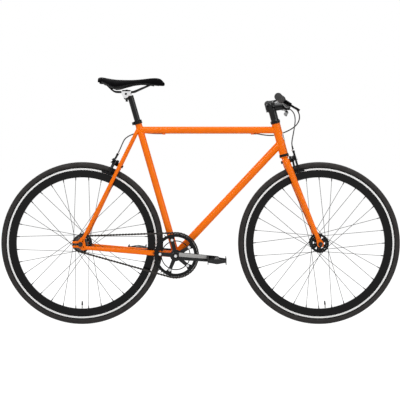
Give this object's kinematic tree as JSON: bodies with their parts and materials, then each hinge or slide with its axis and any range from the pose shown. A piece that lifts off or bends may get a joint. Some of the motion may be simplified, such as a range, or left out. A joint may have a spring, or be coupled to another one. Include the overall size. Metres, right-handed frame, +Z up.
{
  "type": "single-speed bicycle",
  "caption": "Single-speed diamond-frame bicycle with deep rims, riser bar, rim brakes, chain drive and platform pedals.",
  "frame": {"origin": "on the ground midway between the two wheel axles, in the bicycle's middle plane", "axes": "+X forward along the bicycle, +Z up, +Y to the rider's left; the chain runs on the -Y side"},
  "size_m": [1.6689, 0.613, 1.0337],
  "materials": {
    "frame_paint": "high gloss orange",
    "black_alloy": "black anodised",
    "black_steel": "black satin",
    "silver_alloy": "bright machined",
    "rim_alloy": "black anodised with machined brake tracks",
    "steel": "zinc plated",
    "spoke_steel": "stainless",
    "chain_steel": "dark oiled",
    "tyre_rubber": "matt black",
    "grip_rubber": "matt black",
    "housing_plastic": "black sleeve",
    "saddle_cover": "black vinyl over foam",
    "pedal_plastic": "black moulded"
  },
  "bodies": {
    "frame": {"head_tube": "frame_paint", "top_tube": "frame_paint", "down_tube": "frame_paint", "seat_tube": "frame_paint", "bottom_bracket_shell": "frame_paint", "bottom_bracket_cups": "black_alloy", "chain_stays": "frame_paint", "seat_stays": "frame_paint", "dropouts": "frame_paint", "headset_cups": "black_alloy", "seat_collar": "black_alloy", "cable_stops": "frame_paint", "rear_axle": "steel", "chain": "chain_steel", "rear_housing_front": "housing_plastic", "rear_housing_back": "housing_plastic", "rear_brake_wire": "steel", "rear_caliper_body": "black_alloy"},
    "seatpost_unit": {"seatpost": "black_alloy", "seat_clamp": "silver_alloy", "saddle_rails": "black_steel", "saddle": "saddle_cover"},
    "steering": {"fork_steerer": "frame_paint", "fork_blades": "frame_paint", "headset_spacers": "black_alloy", "stem": "black_alloy", "stem_faceplate": "black_alloy", "stem_hardware": "steel", "handlebar": "black_alloy", "grips": "grip_rubber", "lever_brackets": "black_alloy", "front_axle": "steel", "front_housing": "housing_plastic", "front_caliper_body": "black_alloy"},
    "brake_lever_left": {"brake_lever_left": "black_alloy"},
    "brake_lever_right": {"brake_lever_right": "black_alloy"},
    "front_arm_a": {"front_arm_a": "black_alloy"},
    "front_arm_b": {"front_arm_b": "black_alloy"},
    "rear_arm_a": {"rear_arm_a": "black_alloy"},
    "rear_arm_b": {"rear_arm_b": "black_alloy"},
    "front_wheel": {"front_hub": "black_alloy", "front_rim": "rim_alloy", "front_tyre": "tyre_rubber", "front_spokes": "spoke_steel", "front_valve": "black_steel"},
    "rear_wheel": {"rear_hub": "black_alloy", "rear_rim": "rim_alloy", "rear_tyre": "tyre_rubber", "rear_spokes": "spoke_steel", "rear_valve": "black_steel", "rear_cog": "steel"},
    "crankset": {"spindle": "steel", "crank_right": "black_alloy", "crank_left": "black_alloy", "chainring": "black_alloy", "crank_hardware": "silver_alloy", "pedal_axles": "steel"},
    "pedal_right": {"pedal_right": "pedal_plastic"},
    "pedal_left": {"pedal_left": "pedal_plastic"}
  },
  "joints": [
    {"name": "steering_turn", "type": "hinge", "parent": "frame", "child": "steering", "pos_m": [0.34803, 0, 0.71116], "axis": [-0.2538, 0, 0.9673], "range_deg": [-80, 80], "deforming": ["rear_housing_front"]},
    {"name": "front_wheel_spin", "type": "hinge", "parent": "steering", "child": "front_wheel", "pos_m": [0.4955, 0, 0.339], "axis": [0, 1, 0], "continuous": true},
    {"name": "rear_wheel_spin", "type": "hinge", "parent": "frame", "child": "rear_wheel", "pos_m": [-0.4955, 0, 0.339], "axis": [0, 1, 0], "continuous": true, "deforming": ["chain"]},
    {"name": "crank_spin", "type": "hinge", "parent": "frame", "child": "crankset", "pos_m": [-0.10291, 0, 0.292], "axis": [0, 1, 0], "continuous": true},
    {"name": "pedal_right_spin", "type": "hinge", "parent": "crankset", "child": "pedal_right", "pos_m": [0.06654, 0, 0.27837], "axis": [0, 1, 0], "continuous": true},
    {"name": "pedal_left_spin", "type": "hinge", "parent": "crankset", "child": "pedal_left", "pos_m": [-0.27237, 0, 0.30563], "axis": [0, 1, 0], "continuous": true},
    {"name": "seatpost_slide", "type": "slide", "parent": "frame", "child": "seatpost_unit", "axis": [-0.2773, 0, 0.9608], "range_m": [-0.08, 0.09]},
    {"name": "brake_lever_left_pull", "type": "hinge", "parent": "steering", "child": "brake_lever_left", "pos_m": [0.35412, 0.16545, 0.91287], "axis": [0.5431, 0.076, 0.8362], "range_deg": [0, 14], "stiffness_Nm_per_rad": 1, "springref_deg": -11.46},
    {"name": "brake_lever_right_pull", "type": "hinge", "parent": "steering", "child": "brake_lever_right", "pos_m": [0.35412, -0.16545, 0.91287], "axis": [-0.5431, 0.076, -0.8362], "range_deg": [0, 14], "stiffness_Nm_per_rad": 1, "springref_deg": -11.46},
    {"name": "front_arm_a_swing", "type": "hinge", "parent": "steering", "child": "front_arm_a", "pos_m": [0.38312, 0, 0.68697], "axis": [-0.9673, 0, -0.2538], "range_deg": [0, 1.21]},
    {"name": "front_arm_b_swing", "type": "hinge", "parent": "steering", "child": "front_arm_b", "pos_m": [0.3881, 0.015, 0.70069], "axis": [0.9673, 0, 0.2538], "range_deg": [0, 0.987]},
    {"name": "rear_arm_a_swing", "type": "hinge", "parent": "frame", "child": "rear_arm_a", "pos_m": [-0.35544, 0, 0.67129], "axis": [0.8975, 0, -0.4409], "range_deg": [0, 1.28]},
    {"name": "rear_arm_b_swing", "type": "hinge", "parent": "frame", "child": "rear_arm_b", "pos_m": [-0.3576, -0.015, 0.68572], "axis": [-0.8975, 0, 0.4409], "range_deg": [0, 1.04]}
  ],
  "couplings": [
    {"joint": "crank_spin", "follows": "rear_wheel_spin", "ratio": 0.34783},
    {"joint": "front_arm_a_swing", "follows": "brake_lever_left_pull", "ratio": 0.084647},
    {"joint": "front_arm_b_swing", "follows": "brake_lever_left_pull", "ratio": 0.069064},
    {"joint": "rear_arm_a_swing", "follows": "brake_lever_right_pull", "ratio": 0.090292},
    {"joint": "rear_arm_b_swing", "follows": "brake_lever_right_pull", "ratio": 0.072776}
  ]
}
